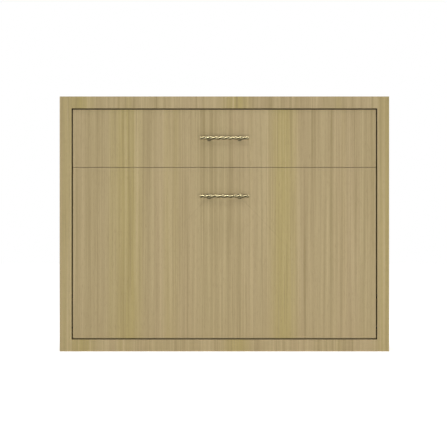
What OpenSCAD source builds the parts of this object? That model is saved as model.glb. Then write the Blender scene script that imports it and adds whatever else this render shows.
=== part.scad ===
// Horizontal wall bed for one double mattress.
// Origin: on the wall plane, at floor level, in the middle of the cabinet's width.
// +X along the wall, -Y into the room, +Z up. The bed is drawn closed, in millimetres.

/* [Mattress] */
// Length of the mattress, along the wall
mattress_l = 1905; // [1700:5:2300]
// Width of the mattress, out from the wall when the bed is open
mattress_w = 1372; // [1120:1:1650]
// Thickness of the mattress
mattress_t = 230; // [150:5:280]
// Wall thickness of the quilted cover and comfort foam
mattress_skin = 15; // [8:1:30]
// Radius of the mattress's upright corners
mattress_corner_r = 60; // [20:5:100]
// How far the mattress reaches behind the pivot when the bed is open
mattress_behind = 225; // [180:5:280]
// Room at each end of the mattress
mattress_end_gap = 25; // [10:1:40]
// Room along each long side of the mattress
mattress_edge_gap = 10; // [6:1:30]

/* [Cabinet] */
// Width of the members of the face frame
border = 79; // [65:1:110]
// Thickness of the face frame
face_frame_t = 22; // [18:1:26]
// Thickness of the sides, top and bottom
panel_t = 19; // [15:1:23]
// Thickness of the back panel
back_t = 9; // [6:1:12]
// Height of the bottom panel above the floor
bottom_lift = 38; // [25:1:45]
// Thickness of the two rails that are screwed to the wall
wall_rail_t = 19; // [15:1:23]
// Height of the upper wall rail
upper_wall_rail_h = 120; // [80:5:150]
// Height of the lower wall rail
lower_wall_rail_h = 80; // [60:5:120]
// Free room behind the swinging mattress
swing_clear = 18; // [10:1:60]
// Distance between neighbouring wall screws
stud_pitch = 406.4; // [300:0.1:450]
// Radius of the holes for the wall screws
wall_hole_r = 4; // [3:0.5:6]

/* [Front] */
// Gap between the face frame and the bed's face, all round
swing_gap = 8; // [7:0.5:14]
// How far the bed's face is set back behind the face frame
recess = 6; // [3:1:10]
// Thickness of the two face panels
face_t = 19; // [15:1:23]
// Height of the upper face panel
upper_panel_h = 382; // [250:1:480]
// Gap between the two face panels
reveal = 3; // [2:0.5:5]
// How far the face hangs below the bed frame
face_under = 13; // [8:1:25]
// How far the face stands above the bed frame
face_over = 56; // [40:1:90]

/* [Bed frame] */
// Thickness of the four rails of the bed frame
rail_t = 28; // [24:1:35]
// Depth of the four rails of the bed frame
rail_d = 120; // [100:1:140]
// Depth of the battens between the face and the slats
batten_d = 33; // [28:1:40]
// Width of the batten behind the seam
seam_batten_w = 90; // [60:1:120]
// Width of the middle batten
middle_batten_w = 60; // [40:1:90]
// Number of slats
slat_count = 15; // [11:1:17]
// Width of a slat
slat_w = 70; // [50:1:80]
// Thickness of a slat
slat_t = 12; // [10:1:16]

/* [Handles] */
// Distance between the two posts of a handle
handle_pitch = 203; // [128:1:256]
// Overall length of a handle's bar
handle_l = 325; // [270:1:360]
// Side of the square bar before it is twisted
handle_bar = 15; // [11:0.5:17]
// Full turns in the twisted bar
handle_turns = 2; // [1:0.5:4]
// Distance from the face to the bar's axis
handle_reach = 40; // [34:1:50]
// Radius of a post's rosette
rosette_r = 18; // [13:1:20]
// Drop from the top of the lower panel to its handle
lower_handle_drop = 191; // [120:1:250]

/* [Pivot and struts] */
// Pivot's distance behind the back of the face
pivot_inset = 50; // [40:1:60]
// Radius of the pivot pin
pivot_pin_r = 10; // [8:0.5:11]
// Radius of the steel hub that carries the pin
pivot_hub_r = 15; // [13:0.5:16]
// Side of the square pivot plate
pivot_plate_w = 160; // [150:1:190]
// Thickness of the steel plates
plate_t = 5; // [4:0.5:6]
// Strut's upper stud, behind the pivot
anchor_back = 38; // [36:1:42]
// Strut's upper stud, above the pivot
anchor_up = 53; // [45:1:60]
// Radius of a strut's cylinder
strut_r = 10; // [8.5:0.5:11]
// Radius of a strut's rod
strut_rod_r = 5; // [4:0.5:6]
// Radial clearance of everything that turns or slides
running = 0.05; // [0.02:0.01:0.08]

/* [Foot] */
// Foot pivot's distance behind the back of the face
foot_inset = 17; // [15:1:24]
// Width of the flat steel in the foot
foot_w = 32; // [24:1:34]
// Gap between the raised foot and the face frame above it
foot_top_gap = 1.5; // [1:0.5:3]
// Gap on both sides of a foot arm
foot_side_gap = 2; // [1.5:0.25:2.5]
// Gap between the swinging foot bar and the top corner of the face
foot_corner_gap = 1; // [0.5:0.25:1.5]

/* [Hidden] */
$fn = 48;

// Widths, counted from the middle of the cabinet.
rail_in = mattress_l / 2 + mattress_end_gap;
face_half = rail_in + rail_t;
open_half = face_half + swing_gap;
cab_half = open_half + border;
side_in = cab_half - panel_t;

// Heights above the floor.
face_bottom = border + swing_gap;
frame_bottom = face_bottom + face_under;
mattress_lo = frame_bottom + rail_t + mattress_edge_gap;
mattress_hi = mattress_lo + mattress_w;
frame_top = mattress_hi + mattress_edge_gap + rail_t;
face_top = frame_top + face_over;
open_top = face_top + swing_gap;
cab_h = open_top + border;
upper_panel_z = face_top - upper_panel_h;
lower_panel_top = upper_panel_z - reveal;
seam_z = upper_panel_z - reveal / 2;
pivot_z = mattress_lo + mattress_behind;

// Depths behind the front of the face frame.
face_back = recess + face_t;
slat_front = face_back + batten_d;
deck = slat_front + slat_t;
mattress_back = deck + mattress_t;
rail_back = face_back + rail_d;
pivot_depth = face_back + pivot_inset;
foot_depth = face_back + foot_inset;

// The corner of the mattress that swings closest to the wall sets the cabinet's depth.
swing_r = norm([mattress_back - pivot_depth, mattress_behind]);
cab_d = ceil(pivot_depth + swing_r) + swing_clear + wall_rail_t + back_t;

wall_rail_back = -back_t;
screw_r = 2.5;
hole_slack = 0.1;
touch_gap = 0.3;

// A cut reaches this far past the face that it opens, and a joined piece this far inside.
past = 1;
root = 0.5;

// Y of a depth behind the front of the face frame.
function at(depth) = depth - cab_d;

pivot_y = at(pivot_depth);

// A block between two corners.
module block(low, high) {
    translate(low) cube(high - low);
}

// Mirrors a right-hand piece to the left when s is -1.
module handed(s) {
    mirror([s < 0 ? 1 : 0, 0, 0]) children();
}

// A round bar along X, from x0 to x1.
module x_bar(x0, x1, y, z, r) {
    translate([x0, y, z]) rotate([0, 90, 0]) cylinder(h = x1 - x0, r = r);
}

// A round bar along Y, from y0 to y1.
module y_bar(x, y0, y1, z, r) {
    translate([x, y0, z]) rotate([-90, 0, 0]) cylinder(h = y1 - y0, r = r);
}

// Extrudes an outline drawn in Y and Z along X.
module x_extrude(x0, x1) {
    translate([x0, 0, 0]) rotate([90, 0, 90]) linear_extrude(x1 - x0) children();
}

// A rectangle with round corners, from the middle.
module round_rect(w, h, r) {
    square([w - 2 * r, h], center = true);
    square([w, h - 2 * r], center = true);
    for (x = [-1, 1], y = [-1, 1])
        translate([x * (w / 2 - r), y * (h / 2 - r)]) circle(r);
}

module oak() { color([0.68, 0.61, 0.46]) children(); }
module pale_wood() { color([0.83, 0.74, 0.56]) children(); }
module dark_steel() { color([0.16, 0.15, 0.14]) children(); }
module bright_steel() { color([0.75, 0.76, 0.78]) children(); }
module brass() { color([0.66, 0.58, 0.36]) children(); }
module rubber() { color([0.08, 0.08, 0.08]) children(); }

// ---- Cabinet ----

// The four screws of a pivot plate, as [y, z]. The plate's middle lies behind the pivot.
plate_screw_inset = 14;
plate_behind = 30;
plate_screw_reach = pivot_plate_w / 2 - plate_screw_inset;
plate_y = pivot_y + plate_behind;
plate_screws = [for (y = [-1, 1], z = [-1, 1])
    [plate_y + y * plate_screw_reach, pivot_z + z * plate_screw_reach]];
plate_screw_l = 12;

module side_panel(s) {
    oak() handed(s) difference() {
        block([side_in, at(face_frame_t), 0], [cab_half, 0, cab_h]);
        for (p = plate_screws)
            x_bar(side_in - past, side_in + plate_screw_l, p[0], p[1], screw_r + hole_slack);
    }
}

module top_panel() {
    oak() block([-side_in, at(face_frame_t), cab_h - panel_t], [side_in, -back_t, cab_h]);
}

module bottom_panel() {
    oak() block([-side_in, at(face_frame_t), bottom_lift],
        [side_in, -back_t, bottom_lift + panel_t]);
}

upper_rail_top = cab_h - panel_t;
lower_rail_bottom = bottom_lift + panel_t;
upper_screw_z = upper_rail_top - upper_wall_rail_h / 2;
lower_screw_z = lower_rail_bottom + lower_wall_rail_h / 2;
upper_screw_xs = [for (k = [-1.5, -0.5, 0.5, 1.5]) k * stud_pitch];
lower_screw_xs = [for (k = [-1.5, 1.5]) k * stud_pitch];

module wall_holes() {
    in_front = wall_rail_back - wall_rail_t - past;
    for (x = upper_screw_xs) y_bar(x, in_front, past, upper_screw_z, wall_hole_r);
    for (x = lower_screw_xs) y_bar(x, in_front, past, lower_screw_z, wall_hole_r);
}

module back_panel() {
    oak() difference() {
        block([-side_in, -back_t, 0], [side_in, 0, cab_h]);
        wall_holes();
    }
}

module wall_rail(z0, h) {
    oak() difference() {
        block([-side_in, wall_rail_back - wall_rail_t, z0],
            [side_in, wall_rail_back, z0 + h]);
        wall_holes();
    }
}

module upper_wall_rail() { wall_rail(upper_rail_top - upper_wall_rail_h, upper_wall_rail_h); }
module lower_wall_rail() { wall_rail(lower_rail_bottom, lower_wall_rail_h); }

module stile(s) {
    oak() handed(s) block([open_half, at(0), 0], [cab_half, at(face_frame_t), cab_h]);
}

module face_rail(z0) {
    oak() block([-open_half, at(0), z0], [open_half, at(face_frame_t), z0 + border]);
}

// Six feet under the bottom panel.
foot_pad_r = 20;
foot_pad_h = 6;
foot_stem_r = 5;
foot_pad_end = 60;
foot_pad_inset = 50;

module levelling_feet() {
    rubber() for (x = [-1, 0, 1], y = [at(face_frame_t) + foot_pad_inset, -back_t - foot_pad_inset])
        translate([x * (side_in - foot_pad_end), y, 0]) {
            cylinder(h = foot_pad_h, r = foot_pad_r);
            cylinder(h = bottom_lift, r = foot_stem_r);
        }
}

// Three-sided blocks glued into the upper corners, behind the stiles.
corner_block = 56;

module cabinet_corner_blocks() {
    pale_wood() for (s = [-1, 1], y = [at(face_frame_t), -back_t - wall_rail_t - corner_block])
        handed(s) translate([side_in, y + corner_block, cab_h - panel_t]) rotate([90, 0, 0])
            linear_extrude(corner_block)
                polygon([[0, 0], [-corner_block, 0], [0, -corner_block]]);
}

// ---- Pivot hardware on the cabinet ----

strut_out = 26;
strut_x = open_half + strut_out;
eye_half = 8;
eye_r = 11;
eye_play = 0.5;
stud_r = 5;
stud_tip = 1.5;
shoulder_r = 8;
hub_gap = 1;
bush_flange_t = 3;
bush_flange_r = 22;
hub_in = face_half + bush_flange_t + hub_gap;
clip_t = 1.5;
strut_clip_r = 9;
stud_end = strut_x - eye_half - clip_t - stud_tip;

module pivot_plate(s) {
    dark_steel() handed(s) difference() {
        union() {
            block([side_in - plate_t, plate_y - pivot_plate_w / 2, pivot_z - pivot_plate_w / 2],
                [side_in, plate_y + pivot_plate_w / 2, pivot_z + pivot_plate_w / 2]);
            x_bar(hub_in, side_in - root, pivot_y, pivot_z, pivot_hub_r);
            x_bar(strut_x + eye_half + eye_play, side_in - root, pivot_y + anchor_back,
                pivot_z + anchor_up, shoulder_r);
            x_bar(stud_end, side_in - root, pivot_y + anchor_back, pivot_z + anchor_up, stud_r);
        }
        x_bar(hub_in - past, side_in + past, pivot_y, pivot_z, pivot_pin_r);
        for (p = plate_screws)
            x_bar(side_in - plate_t - past, side_in + past, p[0], p[1], screw_r + hole_slack);
    }
}

module pivot_pin(s) {
    bright_steel() handed(s) x_bar(rail_in + root, side_in, pivot_y, pivot_z, pivot_pin_r);
}

screw_head_r = 5.5;
screw_head_t = 2.5;

module pivot_plate_screws() {
    bright_steel() for (s = [-1, 1], p = plate_screws) handed(s) {
        x_bar(side_in - plate_t - screw_head_t, side_in - plate_t, p[0], p[1], screw_head_r);
        x_bar(side_in - plate_t - root, side_in + plate_screw_l - past, p[0], p[1], screw_r);
    }
}

module strut_clips() {
    clip_out = strut_x - eye_half - touch_gap;
    bright_steel() for (s = [-1, 1]) handed(s) difference() {
        x_bar(clip_out - clip_t, clip_out, pivot_y + anchor_back, pivot_z + anchor_up,
            strut_clip_r);
        x_bar(clip_out - clip_t - past, clip_out + past, pivot_y + anchor_back,
            pivot_z + anchor_up, stud_r);
    }
}

// ---- Closing stops ----

stop_below_top = 190;
stop_z = frame_top - stop_below_top;
stop_h = 84;
stop_d = 60;
stop_inset = 2;
buffer_t = 8;
buffer_r = 10;
stop_in = rail_in + stop_inset;
buffer_x = rail_in + rail_t / 2;
buffer_z = stop_z + stop_h / 2;

module stop_blocks() {
    pale_wood() for (s = [-1, 1]) handed(s)
        block([stop_in, at(rail_back + touch_gap + buffer_t), stop_z],
            [side_in, at(rail_back + touch_gap + buffer_t + stop_d), stop_z + stop_h]);
}

module stop_buffers() {
    rubber() for (s = [-1, 1]) handed(s)
        y_bar(buffer_x, at(rail_back + touch_gap), at(rail_back + touch_gap + buffer_t),
            buffer_z, buffer_r);
}

// ---- Bed face ----

upper_handle_z = upper_panel_z + upper_panel_h / 2;
lower_handle_z = lower_panel_top - lower_handle_drop;
handle_screw_r = 2;

module handle_holes(z) {
    for (x = [-1, 1])
        y_bar(x * handle_pitch / 2, at(recess) - past, at(face_back) + past, z,
            handle_screw_r + hole_slack);
}

module face_panel(z0, z1, handle_z) {
    oak() difference() {
        block([-face_half, at(recess), z0], [face_half, at(face_back), z1]);
        handle_holes(handle_z);
    }
}

module upper_face_panel() { face_panel(upper_panel_z, face_top, upper_handle_z); }
module lower_face_panel() { face_panel(face_bottom, lower_panel_top, lower_handle_z); }

// ---- Handles ----

handle_y = at(recess - handle_reach);
bar_chamfer = 1.5;
tenon = 4;
rosette_t = 4;
neck_r = 5;
thread_end = 3;

module handle_bar(z) {
    brass() translate([-handle_l / 2, handle_y, z]) rotate([0, 90, 0])
        linear_extrude(handle_l, twist = 360 * handle_turns, slices = 32 * handle_turns,
                segments = 8)
            offset(delta = bar_chamfer, chamfer = true)
                square(handle_bar - 2 * bar_chamfer, center = true);
}

// The post's outline runs from the rosette on the face to its tenon in the bar.
module handle_posts(z) {
    post_l = handle_reach - handle_bar / 2 + tenon;
    brass() for (x = [-1, 1])
        translate([x * handle_pitch / 2, at(recess), z]) rotate([90, 0, 0]) difference() {
            rotate_extrude() polygon([[0, 0], [rosette_r, 0], [rosette_r, rosette_t * 0.6],
                [rosette_r * 0.75, rosette_t], [neck_r * 1.3, rosette_t * 2.4],
                [neck_r, post_l * 0.45], [neck_r * 1.1, post_l * 0.75],
                [neck_r * 1.4, post_l - tenon], [neck_r * 1.1, post_l], [0, post_l]]);
            translate([0, 0, -past])
                cylinder(h = post_l - tenon - thread_end, r = handle_screw_r + hole_slack);
        }
}

handle_screw_head_r = 4.5;
handle_screw_head_t = 2.5;
screw_tip_gap = 6;

module handle_screws() {
    bright_steel() for (x = [-1, 1], z = [upper_handle_z, lower_handle_z]) {
        y_bar(x * handle_pitch / 2, at(face_back), at(face_back + handle_screw_head_t), z,
            handle_screw_head_r);
        y_bar(x * handle_pitch / 2, handle_y + handle_bar / 2 + screw_tip_gap,
            at(face_back + root), z, handle_screw_r);
    }
}

// ---- Bed frame ----

bolt_r = 3.5;
bolt_head_r = 8;
bolt_head_t = 3;
bolt_l = 60;
bolt_pitch = 42;
bolt_edge = 24;
bolt_depths = [rail_back - bolt_edge - bolt_pitch, rail_back - bolt_edge];
bolt_zs = [frame_bottom + rail_t / 2, frame_top - rail_t / 2];

// The bolts that join the end rails to the long rails. Slack widens them into their holes.
module corner_bolts(slack) {
    for (d = bolt_depths, z = bolt_zs) {
        x_bar(face_half - bolt_head_t, face_half + slack, at(d), z, bolt_head_r + slack);
        x_bar(face_half - bolt_head_t - bolt_l - slack, face_half, at(d), z, bolt_r + slack);
    }
}

bush_r = 14;
foot_z = open_top - foot_top_gap - (pivot_z + foot_depth - pivot_depth);
foot_pin_r = 6;
foot_bush_r = 9;

module end_rail(s) {
    oak() handed(s) difference() {
        block([rail_in, at(face_back), frame_bottom], [face_half, at(rail_back), frame_top]);
        x_bar(rail_in - past, face_half + past, pivot_y, pivot_z, bush_r);
        x_bar(rail_in - past, face_half + past, at(foot_depth), foot_z, foot_bush_r);
        corner_bolts(hole_slack);
        lug_screws(hole_slack);
    }
}

module long_rail(z0) {
    oak() difference() {
        block([-rail_in, at(face_back), z0], [rail_in, at(rail_back), z0 + rail_t]);
        for (s = [-1, 1]) handed(s) corner_bolts(hole_slack);
    }
}

module frame_bolts() {
    bright_steel() for (s = [-1, 1]) handed(s) corner_bolts(0);
}

module batten(z, w) {
    pale_wood() block([-rail_in, at(face_back), z - w / 2], [rail_in, at(slat_front), z + w / 2]);
}

middle_z = (frame_bottom + rail_t + seam_z - seam_batten_w / 2) / 2;
frame_block = 40;

module slat_ledgers() {
    for (z = [frame_bottom + rail_t, frame_top - rail_t - batten_d])
        pale_wood() block([-rail_in + frame_block, at(face_back), z],
            [rail_in - frame_block, at(slat_front), z + batten_d]);
}

module frame_corner_blocks() {
    pale_wood() for (s = [-1, 1], z = [frame_bottom + rail_t, frame_top - rail_t - frame_block])
        handed(s) block([rail_in - frame_block, at(face_back), z],
            [rail_in, at(slat_front), z + frame_block]);
}

slat_margin = 17.5;
slat_end_gap = 2;
slat_pitch = (mattress_l - slat_w - 2 * slat_margin) / (slat_count - 1);
function slat_x(k) = (k - (slat_count - 1) / 2) * slat_pitch;

module slats() {
    pale_wood() for (k = [0 : slat_count - 1])
        block([slat_x(k) - slat_w / 2, at(slat_front), frame_bottom + rail_t + slat_end_gap],
            [slat_x(k) + slat_w / 2, at(deck), frame_top - rail_t - slat_end_gap]);
}

module pivot_bush(s) {
    brass() handed(s) difference() {
        union() {
            x_bar(rail_in, face_half + root, pivot_y, pivot_z, bush_r);
            x_bar(face_half, face_half + bush_flange_t, pivot_y, pivot_z, bush_flange_r);
        }
        x_bar(rail_in - past, face_half + bush_flange_t + past, pivot_y, pivot_z,
            pivot_pin_r + running);
    }
}

// ---- Strut lugs on the end rails ----

lug_edge = 53;
lug_r = rail_t + mattress_edge_gap + mattress_behind - lug_edge;
lug_w = 60;
lug_t = 6;
lug_stud_r = 7;
lug_screw_reach = 20;
lug_screw_l = 18;
lug_z = pivot_z - lug_r;

module lug_screws(slack) {
    for (y = [-1, 1], z = [-1, 1])
        x_bar(face_half - lug_screw_l, face_half + root, pivot_y + y * lug_screw_reach,
            lug_z + z * lug_screw_reach, screw_r + slack);
}

module strut_lug(s) {
    dark_steel() handed(s) {
        block([face_half, pivot_y - lug_w / 2, lug_z - lug_w / 2],
            [face_half + lug_t, pivot_y + lug_w / 2, lug_z + lug_w / 2]);
        x_bar(face_half + lug_t - root, strut_x - strut_r - eye_play, pivot_y, lug_z, lug_stud_r);
        lug_screws(0);
    }
}

// ---- Struts: extended when the bed is closed ----

anchor = [pivot_y + anchor_back, pivot_z + anchor_up];
closed_end = [pivot_y, lug_z];
open_end = [pivot_y + lug_r, pivot_z];
strut_long = norm(closed_end - anchor);
strut_short = norm(open_end - anchor);
strut_angle = atan2(anchor[0] - closed_end[0], closed_end[1] - anchor[1]);
rod_fitting = 24;
cylinder_end = strut_short - rod_fitting;
cylinder_wall = 2;
cylinder_start = 18;
cylinder_base_t = 4;
gland_t = 12;
rod_engage = 30;
piston_t = 8;
neck_fitting_r = 7;
rod_neck_start = 18;
rod_neck_l = 12;

// Stands a strut that is drawn along +Z in its closed place.
module along_strut(s) {
    handed(s) translate([strut_x, anchor[0], anchor[1]]) rotate([strut_angle, 0, 0]) children();
}

module strut_cylinder(s) {
    bore_start = cylinder_start + cylinder_base_t;
    dark_steel() along_strut(s) difference() {
        union() {
            rotate([0, 90, 0]) cylinder(h = 2 * eye_half, r = eye_r, center = true);
            cylinder(h = cylinder_start + past, r = neck_fitting_r);
            translate([0, 0, cylinder_start])
                cylinder(h = cylinder_end - cylinder_start, r = strut_r);
        }
        rotate([0, 90, 0]) cylinder(h = 4 * eye_half, r = stud_r + running, center = true);
        translate([0, 0, bore_start])
            cylinder(h = cylinder_end - gland_t - bore_start, r = strut_r - cylinder_wall);
        translate([0, 0, bore_start]) cylinder(h = cylinder_end, r = strut_rod_r + running);
    }
}

module strut_rod(s) {
    rod_start = cylinder_end - rod_engage;
    bright_steel() along_strut(s) {
        translate([0, 0, rod_start]) cylinder(h = strut_long - rod_start, r = strut_rod_r);
        translate([0, 0, rod_start]) cylinder(h = piston_t, r = strut_r - cylinder_wall - running);
        translate([0, 0, strut_long - rod_neck_start])
            cylinder(h = rod_neck_l, r = neck_fitting_r);
        translate([-strut_r, 0, strut_long]) rotate([0, 90, 0])
            cylinder(h = strut_r + eye_half, r = eye_r);
    }
}

// ---- Folding foot: a flat steel frame that lies in the gap round the face ----

foot_r = pivot_z + foot_depth - pivot_depth;
foot_bar_t = foot_r - norm([foot_depth - recess, face_top - foot_z]) - foot_corner_gap;
arm_in = face_half + foot_side_gap;
arm_out = open_half - foot_side_gap;

module foot_arm(s) {
    dark_steel() handed(s) difference() {
        x_extrude(arm_in, arm_out) union() {
            translate([at(foot_depth), foot_z]) circle(foot_w / 2);
            translate([at(foot_depth) - foot_w / 2, foot_z])
                square([foot_w, foot_r - foot_bar_t]);
        }
        x_bar(arm_in - past, arm_out + past, at(foot_depth), foot_z, foot_pin_r);
    }
}

module foot_bar() {
    dark_steel() block([-arm_out, at(foot_depth) - foot_w / 2, foot_z + foot_r - foot_bar_t],
        [arm_out, at(foot_depth) + foot_w / 2, foot_z + foot_r]);
}

foot_pin_past = 6;
foot_pin_in = rail_in - foot_pin_past;
foot_clip_out = rail_in - 2 * clip_t;
foot_clip_r = 11;
foot_washer_r = 13;

module foot_pins() {
    bright_steel() for (s = [-1, 1]) handed(s)
        x_bar(foot_pin_in, arm_out, at(foot_depth), foot_z, foot_pin_r);
}

module foot_pin_clips() {
    bright_steel() for (s = [-1, 1]) handed(s) difference() {
        x_bar(foot_clip_out - clip_t, foot_clip_out, at(foot_depth), foot_z, foot_clip_r);
        x_bar(foot_pin_in, rail_in, at(foot_depth), foot_z, foot_pin_r);
    }
}

module foot_bushes() {
    rubber() for (s = [-1, 1]) handed(s) difference() {
        union() {
            x_bar(rail_in, face_half + root, at(foot_depth), foot_z, foot_bush_r);
            x_bar(face_half, arm_in - eye_play, at(foot_depth), foot_z, foot_washer_r);
        }
        x_bar(rail_in - past, arm_in, at(foot_depth), foot_z, foot_pin_r + running);
    }
}

// ---- Mattress, held down by two webbing straps ----

// The mattress fills the bed frame from the slats backwards, and its springs are left out.
module mattress() {
    color([0.93, 0.92, 0.89]) difference() {
        translate([0, at(mattress_back), (mattress_lo + mattress_hi) / 2]) rotate([90, 0, 0])
            linear_extrude(mattress_t) round_rect(mattress_l, mattress_w, mattress_corner_r);
        block([-mattress_l / 2 + mattress_skin, at(deck + mattress_skin),
                mattress_lo + mattress_skin],
            [mattress_l / 2 - mattress_skin, at(mattress_back - mattress_skin),
                mattress_hi - mattress_skin]);
    }
}

strap_w = 50;
strap_t = 2;
strap_slat = 3;
strap_xs = [slat_x(strap_slat), slat_x(slat_count - 1 - strap_slat)];

module mattress_straps() {
    color([0.2, 0.2, 0.22]) for (x = strap_xs) difference() {
        block([x - strap_w / 2, at(deck), mattress_lo - strap_t],
            [x + strap_w / 2, at(mattress_back + strap_t), mattress_hi + strap_t]);
        block([x - strap_w, at(deck) - past, mattress_lo],
            [x + strap_w, at(mattress_back), mattress_hi]);
    }
}

buckle_w = 64;
buckle_h = 44;
buckle_t = 5;
buckle_drop = 330;
buckle_z = mattress_hi - buckle_drop;
slot_h = 10;
slot_edge = 7;

module strap_buckles() {
    rubber() for (x = strap_xs) difference() {
        block([x - buckle_w / 2, at(mattress_back + strap_t), buckle_z],
            [x + buckle_w / 2, at(mattress_back + strap_t + buckle_t), buckle_z + buckle_h]);
        for (z = [slot_edge, buckle_h - slot_edge - slot_h])
            block([x - strap_w / 2 - past, at(mattress_back), buckle_z + z],
                [x + strap_w / 2 + past, at(mattress_back + buckle_t * 2), buckle_z + z + slot_h]);
    }
}

// ---- One line for each node ----

side_panel(-1);  // side_panel_left
side_panel(1);  // side_panel_right
top_panel();
bottom_panel();
back_panel();
upper_wall_rail();
lower_wall_rail();
stile(-1);  // stile_left
stile(1);  // stile_right
face_rail(open_top);  // top_face_rail
face_rail(0);  // bottom_face_rail
levelling_feet();
cabinet_corner_blocks();
pivot_plate(-1);  // pivot_plate_left
pivot_plate(1);  // pivot_plate_right
pivot_pin(-1);  // pivot_pin_left
pivot_pin(1);  // pivot_pin_right
pivot_plate_screws();
stop_blocks();
stop_buffers();
strut_clips();
upper_face_panel();
lower_face_panel();
batten(seam_z, seam_batten_w);  // seam_batten
batten(middle_z, middle_batten_w);  // middle_batten
slat_ledgers();
end_rail(-1);  // end_rail_left
end_rail(1);  // end_rail_right
long_rail(frame_bottom);  // lower_long_rail
long_rail(frame_top - rail_t);  // upper_long_rail
frame_bolts();
frame_corner_blocks();
slats();
pivot_bush(-1);  // pivot_bush_left
pivot_bush(1);  // pivot_bush_right
strut_lug(-1);  // strut_lug_left
strut_lug(1);  // strut_lug_right
handle_bar(upper_handle_z);  // upper_handle_bar
handle_posts(upper_handle_z);  // upper_handle_posts
handle_bar(lower_handle_z);  // lower_handle_bar
handle_posts(lower_handle_z);  // lower_handle_posts
handle_screws();
foot_bushes();
mattress();
mattress_straps();
strap_buckles();
foot_arm(-1);  // foot_arm_left
foot_arm(1);  // foot_arm_right
foot_bar();
foot_pins();
foot_pin_clips();
strut_cylinder(-1);  // strut_cylinder_left
strut_cylinder(1);  // strut_cylinder_right
strut_rod(-1);  // strut_rod_left
strut_rod(1);  // strut_rod_right
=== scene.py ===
"""The looks of the wall bed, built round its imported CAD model."""

import math

import bpy
import numpy as np
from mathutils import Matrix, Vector


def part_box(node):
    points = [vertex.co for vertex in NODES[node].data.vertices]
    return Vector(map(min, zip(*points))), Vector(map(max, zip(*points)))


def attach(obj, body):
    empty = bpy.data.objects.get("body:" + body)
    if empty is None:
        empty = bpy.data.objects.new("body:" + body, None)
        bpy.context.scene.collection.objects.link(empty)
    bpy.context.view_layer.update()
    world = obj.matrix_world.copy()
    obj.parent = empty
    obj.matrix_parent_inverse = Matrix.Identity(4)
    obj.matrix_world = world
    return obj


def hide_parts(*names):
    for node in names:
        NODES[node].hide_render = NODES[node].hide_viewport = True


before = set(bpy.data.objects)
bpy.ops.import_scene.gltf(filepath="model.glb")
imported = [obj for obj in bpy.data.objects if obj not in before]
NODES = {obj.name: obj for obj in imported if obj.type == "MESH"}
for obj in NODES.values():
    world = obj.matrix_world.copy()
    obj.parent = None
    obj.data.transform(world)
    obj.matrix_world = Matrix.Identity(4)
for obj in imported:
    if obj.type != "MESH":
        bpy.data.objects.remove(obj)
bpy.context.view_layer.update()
MM = 0.001
X, Y, Z = 0, 1, 2


# ---- Camera, light and floor ----

def point_at(obj, target):
    """Turns a camera or a lamp towards a point."""
    obj.rotation_euler = (Vector(target) - obj.location).to_track_quat("-Z", "Y").to_euler()


def make_camera():
    """A long lens far in front of the cabinet, level with its middle, as for a catalogue."""
    distance, view_width = 12.0, 2.964
    shift_right, shift_up = 0.0060, 0.0029
    low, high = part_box("stile_left")
    middle = (low.z + high.z) / 2
    cam = bpy.data.objects.new("camera", bpy.data.cameras.new("camera"))
    bpy.context.scene.collection.objects.link(cam)
    cam.data.sensor_width = 36
    cam.data.lens = cam.data.sensor_width * distance / view_width
    cam.location = (-shift_right, low.y - distance, middle + shift_up)
    cam.rotation_euler = (math.pi / 2, 0, 0)
    cam.data.clip_end = 100
    bpy.context.scene.camera = cam


def area_light(name, place, target, size, power):
    data = bpy.data.lights.new(name, "AREA")
    data.shape = "RECTANGLE"
    data.size, data.size_y = size
    data.energy = power
    lamp = bpy.data.objects.new(name, data)
    bpy.context.scene.collection.objects.link(lamp)
    lamp.location = place
    point_at(lamp, target)
    return lamp


def background_rays(tree):
    """1 for the rays that should see the plain background: from the camera, a mirror or glass."""
    path = tree.nodes.new("ShaderNodeLightPath")
    total = path.outputs["Is Camera Ray"]
    for kind in ("Is Glossy Ray", "Is Transmission Ray"):
        add = tree.nodes.new("ShaderNodeMath")
        add.operation = "ADD"
        add.use_clamp = True
        tree.links.new(total, add.inputs[0])
        tree.links.new(path.outputs[kind], add.inputs[1])
        total = add.outputs[0]
    return total


def make_world(ambient):
    """An even grey-white room light, which shows as pure white behind the object."""
    world = bpy.data.worlds.new("studio")
    bpy.context.scene.world = world
    world.use_nodes = True
    tree = world.node_tree
    tree.nodes.clear()
    strength = tree.nodes.new("ShaderNodeMapRange")
    tree.links.new(background_rays(tree), strength.inputs["Value"])
    strength.inputs["To Min"].default_value = ambient
    strength.inputs["To Max"].default_value = 1.0
    shade = tree.nodes.new("ShaderNodeBackground")
    shade.inputs["Color"].default_value = (1, 1, 1, 1)
    tree.links.new(strength.outputs[0], shade.inputs["Strength"])
    out = tree.nodes.new("ShaderNodeOutputWorld")
    tree.links.new(shade.outputs[0], out.inputs["Surface"])


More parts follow.
